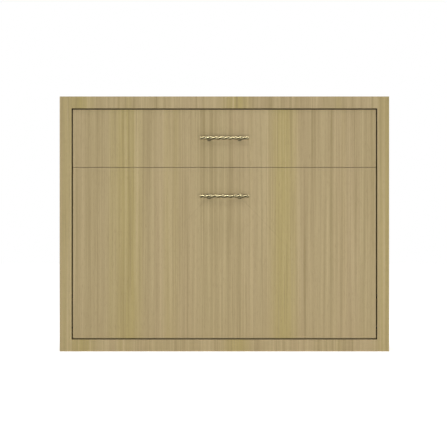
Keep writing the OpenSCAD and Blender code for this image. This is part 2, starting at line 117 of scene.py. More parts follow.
def make_floor():
    """A white floor that keeps the object's shadow."""
    half, level = 25.0, -0.5 * MM
    white, glow_share = 0.82, 0.62
    mesh = bpy.data.meshes.new("floor")
    mesh.from_pydata([(-half, -half, level), (half, -half, level), (half, half, level),
                      (-half, half, level)], [], [(0, 1, 2, 3)])
    floor = bpy.data.objects.new("floor", mesh)
    bpy.context.scene.collection.objects.link(floor)
    material = bpy.data.materials.new("floor")
    material.use_nodes = True
    tree = material.node_tree
    tree.nodes.clear()
    diffuse = tree.nodes.new("ShaderNodeBsdfDiffuse")
    diffuse.inputs["Color"].default_value = (white, white, white, 1)
    glow = tree.nodes.new("ShaderNodeEmission")
    lift = tree.nodes.new("ShaderNodeMath")
    lift.operation = "MULTIPLY"
    lift.inputs[1].default_value = glow_share
    tree.links.new(background_rays(tree), lift.inputs[0])
    tree.links.new(lift.outputs[0], glow.inputs["Strength"])
    both = tree.nodes.new("ShaderNodeAddShader")
    tree.links.new(diffuse.outputs[0], both.inputs[0])
    tree.links.new(glow.outputs[0], both.inputs[1])
    out = tree.nodes.new("ShaderNodeOutputMaterial")
    tree.links.new(both.outputs[0], out.inputs["Surface"])
    floor.data.materials.append(material)


def make_stage():
    """Camera, room light and floor, three soft lamps, and one that shows only in reflections:
    as the bright line along the top of the pulls."""
    make_camera()
    bpy.context.scene.view_settings.view_transform = "Standard"
    make_world(ambient=0.52)
    middle, pulls = (0, -0.44, 0.85), (0, -0.46, 1.2)
    area_light("key", (-0.6, -3.6, 4.6), middle, (3.0, 1.6), power=22)
    area_light("overhead", (0, -1.8, 9.0), middle, (4.0, 0.8), power=190)
    fill = area_light("front_fill", (0.4, -3.6, 0.2), middle, (4.5, 0.8), power=45)
    fill.visible_glossy = False
    shine = area_light("shine", (0, -1.2, 6.0), pulls, (4.0, 1.6), power=400)
    shine.visible_diffuse = False
    make_floor()


# ---- Materials ----

def srgb(red, green, blue):
    """A colour given as 0 to 255 in sRGB, in the renderer's linear values."""
    out = []
    for value in (red, green, blue):
        v = value / 255
        out.append(v / 12.92 if v <= 0.04045 else ((v + 0.055) / 1.055) ** 2.4)
    return (*out, 1)


class Shader:
    """A material with one Principled shader, and short calls that add nodes to it."""

    def __init__(self, name, **sockets):
        self.material = bpy.data.materials.new(name)
        self.material.use_nodes = True
        self.tree = self.material.node_tree
        self.tree.nodes.clear()
        self.bsdf = self.tree.nodes.new("ShaderNodeBsdfPrincipled")
        out = self.tree.nodes.new("ShaderNodeOutputMaterial")
        self.tree.links.new(self.bsdf.outputs[0], out.inputs["Surface"])
        for socket, value in sockets.items():
            self.bsdf.inputs[socket.replace("_", " ")].default_value = value

    def put(self, socket, value):
        """Links or sets one of a node's inputs."""
        if isinstance(value, bpy.types.NodeSocket):
            self.tree.links.new(value, socket)
        else:
            socket.default_value = value

    def set(self, socket, value):
        self.put(self.bsdf.inputs[socket], value)

    def place(self, scale=(1, 1, 1), shift=(0, 0, 0)):
        """A point's place in the row frame in metres, moved and then stretched."""
        coord = self.tree.nodes.new("ShaderNodeTexCoord")
        move = self.tree.nodes.new("ShaderNodeVectorMath")
        move.operation = "ADD"
        self.put(move.inputs[0], coord.outputs["Object"])
        move.inputs[1].default_value = shift
        stretch = self.tree.nodes.new("ShaderNodeVectorMath")
        stretch.operation = "MULTIPLY"
        self.put(stretch.inputs[0], move.outputs[0])
        stretch.inputs[1].default_value = scale
        return stretch.outputs[0]

    def noise(self, place, scale, detail=2.0, roughness=0.5, distortion=0.0):
        node = self.tree.nodes.new("ShaderNodeTexNoise")
        self.put(node.inputs["Vector"], place)
        node.inputs["Scale"].default_value = scale
        node.inputs["Detail"].default_value = detail
        node.inputs["Roughness"].default_value = roughness
        node.inputs["Distortion"].default_value = distortion
        return node.outputs["Fac"]

    def math(self, operation, a, b=0.0):
        node = self.tree.nodes.new("ShaderNodeMath")
        node.operation = operation
        self.put(node.inputs[0], a)
        self.put(node.inputs[1], b)
        return node.outputs[0]

    def spread(self, value, low, high, to_low=0.0, to_high=1.0):
        """Stretches low..high to to_low..to_high with soft ends."""
        node = self.tree.nodes.new("ShaderNodeMapRange")
        node.interpolation_type = "SMOOTHSTEP"
        self.put(node.inputs["Value"], value)
        for name, number in (("From Min", low), ("From Max", high), ("To Min", to_low),
                             ("To Max", to_high)):
            node.inputs[name].default_value = number
        return node.outputs[0]

    def mix(self, factor, a, b):
        node = self.tree.nodes.new("ShaderNodeMix")
        node.data_type = "RGBA"
        self.put(node.inputs["Factor"], factor)
        self.put(node.inputs[6], a)
        self.put(node.inputs[7], b)
        return node.outputs[2]

    def part(self, vector, axis):
        """One coordinate of a vector."""
        node = self.tree.nodes.new("ShaderNodeSeparateXYZ")
        self.put(node.inputs[0], vector)
        return node.outputs[axis]

    def attribute(self, name):
        node = self.tree.nodes.new("ShaderNodeAttribute")
        node.attribute_name = name
        return node.outputs["Fac"]

    def bump(self, height, distance, strength=1.0):
        node = self.tree.nodes.new("ShaderNodeBump")
        node.inputs["Strength"].default_value = strength
        node.inputs["Distance"].default_value = distance
        self.put(node.inputs["Height"], height)
        self.set("Normal", node.outputs[0])


def along(axis, value_along, value_across):
    """A scale that is value_along on one axis and value_across on the others."""
    return tuple(value_along if i == axis else value_across for i in range(3))


def oak(name, grain=Z, shift=(0, 0, 0)):
    """Pale greyish-tan rift oak veneer, satin lacquered, with its grain along one axis."""
    tan, warm, olive = srgb(176, 158, 117), srgb(180, 160, 122), srgb(175, 159, 99)
    light, dark, pore = srgb(195, 177, 136), srgb(152, 135, 93), srgb(121, 102, 64)
    leaf_w, leaf_start = 1.04, 0.10
    s = Shader(name, Specular_IOR_Level=0.3)
    wander = s.noise(s.place(along(grain, 0.5, 2.0), shift), 1.0, 2)
    broad = s.noise(s.place(along(grain, 0.10, 3.2), shift), 1.0, 3, 0.55)
    tone = s.mix(s.spread(broad, 0.35, 0.65), tan, warm)
    # Leaves of veneer side by side, with an olive stripe down the middle of each.
    across = s.part(s.place((1, 1, 1), shift), Z if grain == X else X)
    bend = s.math("MULTIPLY", wander, 0.05)
    turns = s.math("DIVIDE", s.math("ADD", s.math("ADD", across, bend), leaf_start), leaf_w)
    leaf = s.math("FRACT", turns)
    from_middle = s.math("ABSOLUTE", s.math("SUBTRACT", leaf, 0.5))
    stripe = s.spread(from_middle, 0.01, 0.13, 1.0, 0.0)
    side_stripe = s.spread(s.noise(s.place(along(grain, 0.06, 7.0), shift), 1.0, 2), 0.54, 0.74)
    tone = s.mix(s.math("MULTIPLY", stripe, 0.75), tone, olive)
    tone = s.mix(s.math("MULTIPLY", side_stripe, 0.5), tone, olive)
    # Bands, streaks and fine lines of lighter and darker wood.
    band = s.noise(s.place(along(grain, 0.22, 14.0), shift), 1.0, 3, 0.6)
    tone = s.mix(s.spread(band, 0.50, 0.78, 0, 0.40), tone, light)
    tone = s.mix(s.spread(band, 0.50, 0.24, 0, 0.40), tone, dark)
    streak = s.noise(s.place(along(grain, 0.35, 46.0), shift), 1.0, 4, 0.6)
    tone = s.mix(s.spread(streak, 0.50, 0.74, 0, 0.80), tone, light)
    tone = s.mix(s.spread(streak, 0.50, 0.26, 0, 0.80), tone, dark)
    line = s.noise(s.place(along(grain, 0.9, 120.0), shift), 1.0, 3, 0.65)
    tone = s.mix(s.spread(line, 0.53, 0.74, 0, 0.75), tone, dark)
    tone = s.mix(s.spread(line, 0.47, 0.26, 0, 0.70), tone, light)
    pores = s.noise(s.place(along(grain, 22.0, 950.0), shift), 1.0, 2, 0.5)
    pore_mask = s.spread(pores, 0.60, 0.70)
    tone = s.mix(s.math("MULTIPLY", pore_mask, 0.45), tone, pore)
    s.set("Base Color", tone)
    s.set("Roughness", s.spread(streak, 0.2, 0.8, 0.44, 0.58))
    s.bump(s.math("SUBTRACT", s.math("MULTIPLY", line, 0.4), pore_mask), 0.00006, 0.6)
    return s.material


def pine(name, grain=X, shift=(0, 0, 0)):
    """Planed bare softwood with growth rings and a rough-sawn nap."""
    early, late, knotty = srgb(216, 193, 152), srgb(190, 162, 117), srgb(203, 178, 136)
    s = Shader(name, Specular_IOR_Level=0.25)
    wander = s.noise(s.place(along(grain, 0.7, 9.0), shift), 1.0, 2)
    rings = s.math("SINE", s.math("MULTIPLY", wander, 70.0))
    tone = s.mix(s.spread(rings, -0.2, 0.95), early, late)
    cloud = s.noise(s.place(along(grain, 2.0, 6.0), shift), 1.0, 2)
    tone = s.mix(s.spread(cloud, 0.45, 0.75, 0, 0.6), tone, knotty)
    fibre = s.noise(s.place(along(grain, 8.0, 600.0), shift), 1.0, 3)
    tone = s.mix(s.spread(fibre, 0.55, 0.8, 0, 0.3), tone, late)
    s.set("Base Color", tone)
    s.set("Roughness", s.spread(fibre, 0.2, 0.8, 0.62, 0.8))
    s.bump(s.math("ADD", fibre, s.math("MULTIPLY", rings, 0.3)), 0.0002, 0.5)
    return s.material


def birch(name, grain=Z):
    """Lacquered birch plywood: a pale face, and fine dark glue lines through its thickness."""
    pale, warm, glue = srgb(226, 204, 164), srgb(210, 183, 138), srgb(150, 112, 72)
    ply = 1.5 * MM
    s = Shader(name, Specular_IOR_Level=0.4)
    figure = s.noise(s.place(along(grain, 1.6, 22.0)), 1.0, 4, 0.6, 0.4)
    tone = s.mix(s.spread(figure, 0.35, 0.68), pale, warm)
    fibre = s.noise(s.place(along(grain, 6.0, 700.0)), 1.0, 3)
    tone = s.mix(s.spread(fibre, 0.55, 0.85, 0, 0.35), tone, warm)
    depth = s.part(s.place((1, 1, 1)), Y)
    layer = s.math("FRACT", s.math("DIVIDE", depth, 2 * ply))
    glued = s.spread(s.math("ABSOLUTE", s.math("SUBTRACT", layer, 0.5)), 0.40, 0.46)
    geometry = s.tree.nodes.new("ShaderNodeNewGeometry")
    normal = s.tree.nodes.new("ShaderNodeVectorTransform")
    normal.vector_type = "NORMAL"
    normal.convert_from, normal.convert_to = "WORLD", "OBJECT"
    s.put(normal.inputs[0], geometry.outputs["Normal"])
    facing = s.math("ABSOLUTE", s.part(normal.outputs[0], Y))
    edge = s.spread(facing, 0.6, 0.2)
    tone = s.mix(s.math("MULTIPLY", s.math("MULTIPLY", glued, edge), 0.7), tone, glue)
    s.set("Base Color", tone)
    s.set("Roughness", s.spread(figure, 0.2, 0.8, 0.36, 0.5))
    s.bump(fibre, 0.00008, 0.5)
    return s.material


def powder_coat(name):
    """Satin black powder coat with a fine orange peel and slightly rubbed patches."""
    s = Shader(name, Specular_IOR_Level=0.35)
    peel = s.noise(s.place(), 900.0, 2)
    rub = s.noise(s.place(), 9.0, 4, 0.65)
    s.set("Base Color", s.mix(s.spread(rub, 0.45, 0.75), srgb(38, 37, 36), srgb(52, 50, 48)))
    s.set("Roughness", s.spread(rub, 0.3, 0.7, 0.38, 0.52))
    s.bump(peel, 0.0001, 0.5)
    return s.material


def metal(name, colour, worn, low, high, brush=None):
    """A bare or plated metal: two close tones, uneven polish, and brushing along one axis."""
    s = Shader(name, Metallic=1.0)
    cloud = s.noise(s.place(), 40.0, 4, 0.6)
    scale = (160, 160, 160) if brush is None else along(brush, 12.0, 1400.0)
    scratch = s.noise(s.place(scale), 1.0, 2)
    s.set("Base Color", s.mix(s.spread(cloud, 0.35, 0.7), colour, worn))
    s.set("Roughness", s.spread(s.math("ADD", s.math("MULTIPLY", cloud, 0.5),
                                       s.math("MULTIPLY", scratch, 0.5)), 0.3, 0.7, low, high))
    s.bump(scratch, 0.00003, 0.4)
    return s.material


def aged_brass(name):
    """Champagne brass: rubbed bright on the crests, with the hollows near-black brown, partly
    oxide and partly painted shade.
    """
    s = Shader(name, Specular_IOR_Level=0.4)
    crest = s.attribute("crest")
    cloud = s.noise(s.place(), 70.0, 4, 0.6)
    fine = s.noise(s.place(), 700.0, 2)
    # The crest value, spread a little at random, is high on rubbed crests and low in hollows.
    worn = s.math("ADD", crest, s.math("MULTIPLY", s.math("SUBTRACT", cloud, 0.5), 0.35))
    polish = s.spread(worn, 0.42, 0.92)
    # Near-black brown for the hollows: partly the brass's oxide, partly painted shade that stands
    # in for the grooves' shadow.
    patina_and_painted_shade = s.mix(s.spread(cloud, 0.35, 0.7), srgb(28, 21, 7), srgb(46, 36, 15))
    bright = s.mix(s.spread(cloud, 0.35, 0.7), srgb(131, 121, 90), srgb(151, 141, 108))
    s.set("Base Color", s.mix(polish, patina_and_painted_shade, bright))
    s.set("Metallic", s.spread(polish, 0.0, 1.0, 0.25, 1.0))
    s.set("Roughness", s.spread(polish, 0.0, 1.0, 0.60, 0.27))
    s.bump(fine, 0.00004, 0.35)
    return s.material


def rubber(name):
    s = Shader(name, Specular_IOR_Level=0.35)
    dust = s.noise(s.place(), 35.0, 5, 0.65)
    grit = s.noise(s.place(), 1500.0, 2)
    s.set("Base Color", s.mix(s.spread(dust, 0.4, 0.8), srgb(30, 30, 30), srgb(52, 51, 49)))
    s.set("Roughness", s.spread(dust, 0.3, 0.7, 0.68, 0.85))
    s.bump(grit, 0.0001, 0.4)
    return s.material


def plastic(name):
    s = Shader(name, Specular_IOR_Level=0.45)
    grain = s.noise(s.place(), 1100.0, 2)
    cloud = s.noise(s.place(), 30.0, 3)
    s.set("Base Color", s.mix(s.spread(cloud, 0.4, 0.7), srgb(33, 33, 34), srgb(44, 44, 45)))
    s.set("Roughness", s.spread(grain, 0.3, 0.7, 0.42, 0.56))
    s.bump(grain, 0.00006, 0.5)
    return s.material


# ---- Mesh tools ----

def new_piece(name, vertices, faces, material, smooth=True):
    mesh = bpy.data.meshes.new(name)
    mesh.from_pydata([tuple(v) for v in vertices], [], faces)
    mesh.validate()
    mesh.polygons.foreach_set("use_smooth", [smooth] * len(mesh.polygons))
    piece = bpy.data.objects.new(name, mesh)
    bpy.context.scene.collection.objects.link(piece)
    mesh.materials.append(material)
    return piece


def tube_faces(rings, around, first=0):
    """Quads between successive rings of points, and a flat cap on both ends."""
    faces = []
    for i in range(rings - 1):
        for j in range(around):
            a, b = first + i * around + j, first + i * around + (j + 1) % around
            faces.append((a, b, b + around, a + around))
    faces.append(tuple(first + j for j in reversed(range(around))))
    faces.append(tuple(first + (rings - 1) * around + j for j in range(around)))
    return faces


def add_bevel(piece, width):
    """Rounds a piece's hard edges, as sanding or a cutter does."""
    join = piece.modifiers.new("weld", "WELD")
    join.merge_threshold = 1e-5
    soften = piece.modifiers.new("bevel", "BEVEL")
    soften.width = width
    soften.segments = 2
    soften.limit_method = "ANGLE"
    soften.angle_limit = math.radians(35)
    soften.use_clamp_overlap = True
    even = piece.modifiers.new("even", "WEIGHTED_NORMAL")
    even.weight = 100


def finish_nodes(names, material, edge=None):
    """Gives CAD nodes their material, and rounds their edges by the width given, if any."""
    for name in names:
        node = NODES[name]
        node.data.materials.clear()
        node.data.materials.append(material)
        if edge:
            add_bevel(node, edge)


def both(*names):
    """The left and right nodes of each name."""
    return [name + side for name in names for side in ("_left", "_right")]


# ---- Cabinet and bed: CAD nodes with their finishes ----

def dress_wood():
    """The boards: each group has its own cut of the wood, and an edge as its tool leaves it."""
    finish_nodes(("upper_face_panel", "lower_face_panel"), oak("oak_front", Z),
                 edge=0.8 * MM)
    finish_nodes(("stile_left", "stile_right", "top_face_rail", "bottom_face_rail"),
                 oak("oak_face_frame", Z, (0.31, 0, 0.4)), edge=0.6 * MM)
    for number, name in enumerate(both("side_panel")):
        finish_nodes((name,), oak("oak_" + name, Z, (0, 0.7 * number, 0)),
                     edge=0.6 * MM)
    finish_nodes(("top_panel", "bottom_panel"), oak("oak_level", X, (0.2, 0.5, 0.3)),
                 edge=0.6 * MM)
    # A bevel would shade the back panel's flat face between its screw holes.
    finish_nodes(("back_panel",), oak("oak_back", Z, (0.63, 0, 0)))
    finish_nodes(both("end_rail"), oak("oak_end_rail", Z, (0.4, 0.2, 0)),
                 edge=1.5 * MM)
    finish_nodes(("lower_long_rail", "upper_long_rail"),
                 oak("oak_long_rail", X, (0, 0.3, 0.6)), edge=1.5 * MM)
    finish_nodes(("upper_wall_rail", "lower_wall_rail", "seam_batten", "middle_batten",
                  "slat_ledgers", "stop_blocks"), pine("pine_board", X), edge=1.2 * MM)
    finish_nodes(("cabinet_corner_blocks", "frame_corner_blocks"),
                 pine("pine_block", Y, (0.2, 0, 0.1)), edge=1.0 * MM)
    finish_nodes(("slats",), birch("birch_slat"), edge=2.5 * MM)


def dress_hardware():
    """The metal and rubber pieces. The zinc is also the screws' finish, so it is returned."""
    finish_nodes((*both("pivot_plate", "strut_lug", "foot_arm"), "foot_bar",
                  *both("strut_cylinder")), powder_coat("black_coat"),
                 edge=0.6 * MM)
    zinc = metal("zinc_plate", srgb(196, 197, 196), srgb(176, 178, 180), 0.26, 0.42)
    finish_nodes((*both("pivot_pin"), "strut_clips", "foot_pins", "foot_pin_clips"), zinc,
                 edge=0.3 * MM)
    chrome = metal("hard_chrome", srgb(214, 215, 217), srgb(204, 206, 209), 0.06, 0.16, Z)
    finish_nodes(both("strut_rod"), chrome, edge=0.4 * MM)
    bronze = metal("bush_bronze", srgb(172, 128, 76), srgb(150, 108, 62), 0.35, 0.55)
    finish_nodes(both("pivot_bush"), bronze, edge=0.3 * MM)
    finish_nodes(("levelling_feet", "stop_buffers", "foot_bushes"), rubber("black_rubber"),
                 edge=0.6 * MM)
    return zinc


# ---- Handles ----

def twisted_bar(name, node, material):
    """A bar twisted like rope: four rounded strands with two full turns, and on each end a
    plain collar with a small neck behind it and a domed tip."""
    low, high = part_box(node)
    length = high.x - low.x
    axis_y, axis_z = (low.y + high.y) / 2, (low.z + high.z) / 2
    crest_r, hollow_r = 10.2 * MM, 7.2 * MM
    turns, strands, fullness = 2, 4, 0.85
    rings, around = 420, 64
    collar, fade, dome, neck_w = 7 * MM, 2 * MM, 1.6 * MM, 1.1 * MM
    tip_share, neck_share, collar_share, collar_wear = 0.82, 0.12, 0.97, 0.8
    points, crest = [], []
    for i in range(rings):
        t = i / (rings - 1)
        x = low.x + t * length
        from_end = min(t, 1 - t) * length
        plain = min(1, max(0, 1 - (from_end - collar + fade / 2) / fade))
        rim = min(1, from_end / dome)
        crown = tip_share + (1 - tip_share) * math.sqrt(1 - (1 - rim) ** 2)
        neck = 1 - neck_share * math.exp(-((from_end - collar - fade / 2) / neck_w) ** 2)
        for j in range(around):
            angle = 2 * math.pi * j / around
            lobe = abs(math.cos(strands / 2 * (angle - 2 * math.pi * turns * t))) ** fullness
            rope = hollow_r + (crest_r - hollow_r) * lobe
            radius = (rope * (1 - plain) + crest_r * collar_share * plain) * crown * neck
            points.append((x, axis_y + radius * math.sin(angle),
                           axis_z + radius * math.cos(angle)))
            # The crest value is low in the twist's hollows, which the brass paints dark as oxide
            # and painted shade.
            crest.append(lobe * (1 - plain) + collar_wear * plain)
    bar = new_piece(name, points, tube_faces(rings, around), material)
    store_crest(bar, crest)
    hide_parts(node)
    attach(bar, "bed")


def store_crest(piece, values):
    """Keeps, for the brass, how far each point stands out: 1 on a crest and 0 in a hollow, which
    the brass paints dark as oxide and painted shade.
    """
    layer = piece.data.attributes.new("crest", "FLOAT", "POINT")
    layer.data.foreach_set("value", np.array(values, np.float32))


def lathe(profile, centre, around, face_y):
    """Rings of points round a line along -Y: profile is (distance from the face, radius)."""
    points = []
    for out, radius in profile:
        for j in range(around):
            angle = 2 * math.pi * j / around
            points.append((centre[0] + radius * math.cos(angle), face_y - out,
                           centre[1] + radius * math.sin(angle)))
    return points


def smooth_profile(corners, steps=6):
    """Rounds a lathe profile with a Catmull-Rom curve through its corners."""
    out = []
    padded = [corners[0], *corners, corners[-1]]
    for a, b, c, d in zip(padded, padded[1:], padded[2:], padded[3:]):
        for k in range(steps):
            t = k / steps
            out.append(tuple(
                0.5 * (2 * q + (r - p) * t + (2 * p - 5 * q + 4 * r - s) * t * t
                       + (3 * q - p - 3 * r + s) * t ** 3)
                for p, q, r, s in zip(a, b, c, d)))
    out.append(corners[-1])
    return out


def handle_posts(name, node, bar_node, material):
    """Two turned posts: a stepped rosette on the face, a waisted neck and a cup under the bar."""
    low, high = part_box(node)
    bar_low, bar_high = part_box(bar_node)
    rosette = (high.z - low.z) / 2
    reach = high.y - (bar_low.y + bar_high.y) / 2
    # Distance from the face and radius, in metres.
    corners = [(0, rosette), (0.0022, rosette), (0.0030, rosette * 0.97), (0.0036, rosette * 0.84),
               (0.0056, rosette * 0.78), (0.0064, rosette * 0.66), (0.0075, rosette * 0.52),
               (0.0110, 0.0072), (0.0170, 0.0054), (0.0225, 0.0056), (reach - 0.0112, 0.0078),
               (reach - 0.0080, 0.0086), (reach - 0.0045, 0.0078), (reach - 0.0040, 0.0010)]
    profile = smooth_profile(corners)
    last = len(profile) - 1
    around, near = 48, 3
    even_wear_and_shade, wear_and_shade_gain = 0.62, 260
    points, faces, crest = [], [], []
    mid_z = (low.z + high.z) / 2
    for side_x in (low.x + rosette, high.x - rosette):
        faces += tube_faces(len(profile), around, len(points))
        points += lathe(profile, (side_x, mid_z), around, high.y)
        for k, (_, radius) in enumerate(profile):
            before, after = profile[max(0, k - near)][1], profile[min(last, k + near)][1]
            stands_out = radius - (before + after) / 2
            # Recessed rings get a low value, so the brass paints them dark: oxide and painted
            # shade in the recesses.
            crest += [min(1, max(0, even_wear_and_shade + wear_and_shade_gain * stands_out))] * around
    posts = new_piece(name, points, faces, material)
    store_crest(posts, crest)
    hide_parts(node)
    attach(posts, "bed")


def make_handles():
    brass = aged_brass("champagne_brass")
    for place in ("upper", "lower"):
        bar = place + "_handle_bar"
        twisted_bar(place + "_pull_bar", bar, brass)
        handle_posts(place + "_pull_posts", place + "_handle_posts", bar, brass)


# ---- Soft goods ----

def ticking(name):
    """Off-white knitted ticking: fine crossed ribs, a tone-on-tone figure and a soft nap."""
    rib = 2.4 * MM
    s = Shader(name, Sheen_Weight=0.25, Sheen_Roughness=0.5, Specular_IOR_Level=0.2)
    turn = 2 * math.pi / rib
    place = s.place((turn, turn, turn))
    x, y, z = s.part(place, X), s.part(place, Y), s.part(place, Z)
    warp = s.math("SINE", s.math("ADD", x, y))
    weft = s.math("SINE", s.math("ADD", z, y))
    knit = s.math("MULTIPLY", warp, weft)
    figure = s.noise(s.place(), 26.0, 2, 0.5, 1.6)
    cloud = s.noise(s.place(), 3.0, 3)
    tone = s.mix(s.spread(figure, 0.46, 0.56), srgb(226, 222, 210), srgb(214, 209, 195))
    tone = s.mix(s.spread(cloud, 0.4, 0.7, 0, 0.3), tone, srgb(205, 200, 186))
    tone = s.mix(s.spread(knit, 0.2, 1.0, 0, 0.25), tone, srgb(236, 233, 224))
    s.set("Base Color", tone)
    s.set("Roughness", s.spread(knit, -1.0, 1.0, 0.78, 0.92))
    s.bump(s.math("ADD", knit, s.math("MULTIPLY", figure, 2.0)), 0.0003, 0.6)
    return s.material


def tape(name):
    """Grey-beige edge tape, ribbed across its length."""
    s = Shader(name, Sheen_Weight=0.2, Specular_IOR_Level=0.25)
    turn = 2 * math.pi / (1.6 * MM)
    place = s.place((turn, turn, turn))
    rib = s.math("SINE", s.math("ADD", s.part(place, X), s.part(place, Z)))
    fuzz = s.noise(s.place(), 300.0, 3)
    s.set("Base Color", s.mix(s.spread(rib, -0.6, 0.8), srgb(176, 168, 150), srgb(204, 197, 180)))
    s.set("Roughness", s.spread(fuzz, 0.3, 0.7, 0.7, 0.88))
    s.bump(s.math("ADD", rib, fuzz), 0.0003, 0.6)
    return s.material


def webbing(name):
    """Dark grey herringbone webbing."""
    s = Shader(name, Sheen_Weight=0.15, Specular_IOR_Level=0.3)
    turn = 2 * math.pi / (3.0 * MM)
    place = s.place((turn, turn, turn))
    down = s.math("ADD", s.part(place, Y), s.part(place, Z))
    bone = s.math("PINGPONG", s.part(place, X), 4 * math.pi)
    twill = s.math("SINE", s.math("ADD", down, bone))
    fuzz = s.noise(s.place(), 500.0, 3)
    tone = s.mix(s.spread(twill, -0.5, 0.8), srgb(52, 53, 58), srgb(84, 85, 92))
    s.set("Base Color", s.mix(s.spread(fuzz, 0.5, 0.8, 0, 0.3), tone, srgb(104, 104, 108)))
    s.set("Roughness", s.spread(fuzz, 0.3, 0.7, 0.62, 0.8))
    s.bump(s.math("ADD", twill, fuzz), 0.0004, 0.7)
    return s.material


MATTRESS_LOW, MATTRESS_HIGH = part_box("mattress")
CORNER_R = 60 * MM      # of the mattress's four corners
EDGE_R = 24 * MM        # where a panel turns into the border
QUILT_ROOM = 9 * MM     # left for the filling to swell
QUILT_STEP = 15 * MM    # of the panels' grid
QUILT_CELL = 12         # grid steps between two lines of quilting
STITCH_DEPTH = 7 * MM   # how far the stitches draw the cover in
TAPE_R = 5.5 * MM
STRAP_W = 50 * MM
STRAP_T = 1.8 * MM


def signed_clamp(value, limit):
    return max(-limit, min(limit, value))


def rounded_corner(x, z, half_x, half_z, radius):
    """Moves a point of a rectangular grid so that the grid's corners become round."""
    over_x, over_z = abs(x) - (half_x - radius), abs(z) - (half_z - radius)
    if over_x <= 0 or over_z <= 0:
        return x, z
    a, b = over_x / radius, over_z / radius
    new_x = half_x - radius + radius * a * math.sqrt(1 - b * b / 2)
    new_z = half_z - radius + radius * b * math.sqrt(1 - a * a / 2)
    return math.copysign(new_x, x), math.copysign(new_z, z)


def quilt_grid():
    """The flat part of the panels: its middle, its half sizes, and its grid's counts of steps."""
    low, high = MATTRESS_LOW, MATTRESS_HIGH
    flat_x = (high.x - low.x) / 2 - QUILT_ROOM - EDGE_R
    flat_z = (high.z - low.z) / 2 - QUILT_ROOM - EDGE_R
    count_x, count_z = (round(2 * flat / QUILT_STEP) // 2 * 2 for flat in (flat_x, flat_z))
    return (low + high) / 2, flat_x, flat_z, count_x, count_z


def panel_grids(middle, flat_x, flat_z, count_x, count_z, levels):
    """The mattress's two panels, at the two given Ys: points, faces, the points held by
    stitches, and each grid point's number. Only the first one, which is slept on, is quilted."""
    points, faces, held, index = [], [], [], {}
    for side, level in enumerate(levels):
        for i in range(count_x + 1):
            for j in range(count_z + 1):
                x, z = rounded_corner((2 * i / count_x - 1) * flat_x,
                                      (2 * j / count_z - 1) * flat_z, flat_x, flat_z,
                                      CORNER_R - EDGE_R)
                across, along_z = i - count_x // 2, j - count_z // 2
                sewn = side == 0 and 0 in ((across + along_z) % QUILT_CELL,
                                           (across - along_z) % QUILT_CELL)
                index[side, i, j] = len(points)
                if sewn or side == 1:
                    held.append(len(points))
                points.append((middle.x + x, level - (STITCH_DEPTH if sewn else 0),
                               middle.z + z))
        for i in range(count_x):
            for j in range(count_z):
                quad = (index[side, i, j], index[side, i, j + 1], index[side, i + 1, j + 1],
                        index[side, i + 1, j])
                faces.append(quad if side == 0 else quad[::-1])
    return points, faces, held, index


def border_profile(back, front):
    """The border's section between the two panels: (how far it stands outside them, Y) for each
    row of points, and the rows that are sewn."""
    arc_steps, channel_rows, channels = 4, 4, 3
    straight = channel_rows * channels
    profile, sewn_rows = [], [arc_steps // 2 - 1]
    for k in range(1, arc_steps + 1):
        angle = k / arc_steps * math.pi / 2
        profile.append((EDGE_R * math.sin(angle), back - EDGE_R * (1 - math.cos(angle))))
    for k in range(1, straight):
        profile.append((EDGE_R, back - EDGE_R + (front + EDGE_R - back + EDGE_R) * k / straight))
        if k % channel_rows == 0:
            sewn_rows.append(len(profile) - 1)
    for k in range(arc_steps):
        angle = (1 - k / arc_steps) * math.pi / 2
        profile.append((EDGE_R * math.sin(angle), front + EDGE_R * (1 - math.cos(angle))))
    sewn_rows.append(len(profile) - arc_steps // 2)
    return profile, sewn_rows


def mattress_shape():
    """The mattress's cover before it is filled: points, faces, the points held by stitches, and
    the two loops that the edge tapes follow. Two panels lie on a grid whose diagonals are the
    quilting, and a border of three sewn channels joins them."""
    middle, flat_x, flat_z, count_x, count_z = quilt_grid()
    back, front = MATTRESS_HIGH.y - QUILT_ROOM, MATTRESS_LOW.y
    points, faces, held, index = panel_grids(middle, flat_x, flat_z, count_x, count_z,
                                             (back, front))
    rim = [(i, 0) for i in range(count_x)] + [(count_x, j) for j in range(count_z)]
    rim += [(i, count_z) for i in range(count_x, 0, -1)] + [(0, j) for j in range(count_z, 0, -1)]
    profile, sewn_rows = border_profile(back, front)
    flat_r = CORNER_R - EDGE_R
    loops = [[index[0, i, j] for i, j in rim]]
    for row, (out, level) in enumerate(profile):
        pull = STITCH_DEPTH if row in sewn_rows[1:-1] else 0
        loop = []
        for i, j in rim:
            px, _, pz = points[index[1, i, j]]
            cx = middle.x + signed_clamp(px - middle.x, flat_x - flat_r)
            cz = middle.z + signed_clamp(pz - middle.z, flat_z - flat_r)
            reach = (out - pull) / math.hypot(px - cx, pz - cz)
            loop.append(len(points))
            if row in sewn_rows:
                held.append(len(points))
            points.append((px + (px - cx) * reach, level, pz + (pz - cz) * reach))
        loops.append(loop)
    loops.append([index[1, i, j] for i, j in rim])
    for one, two in zip(loops, loops[1:]):
        for k in range(len(rim)):
            n = (k + 1) % len(rim)
            faces.append((one[k], one[n], two[n], two[k]))
    piping = [[points[v] for v in loops[row + 1]] for row in (sewn_rows[0], sewn_rows[-1])]
    return points, faces, held, piping


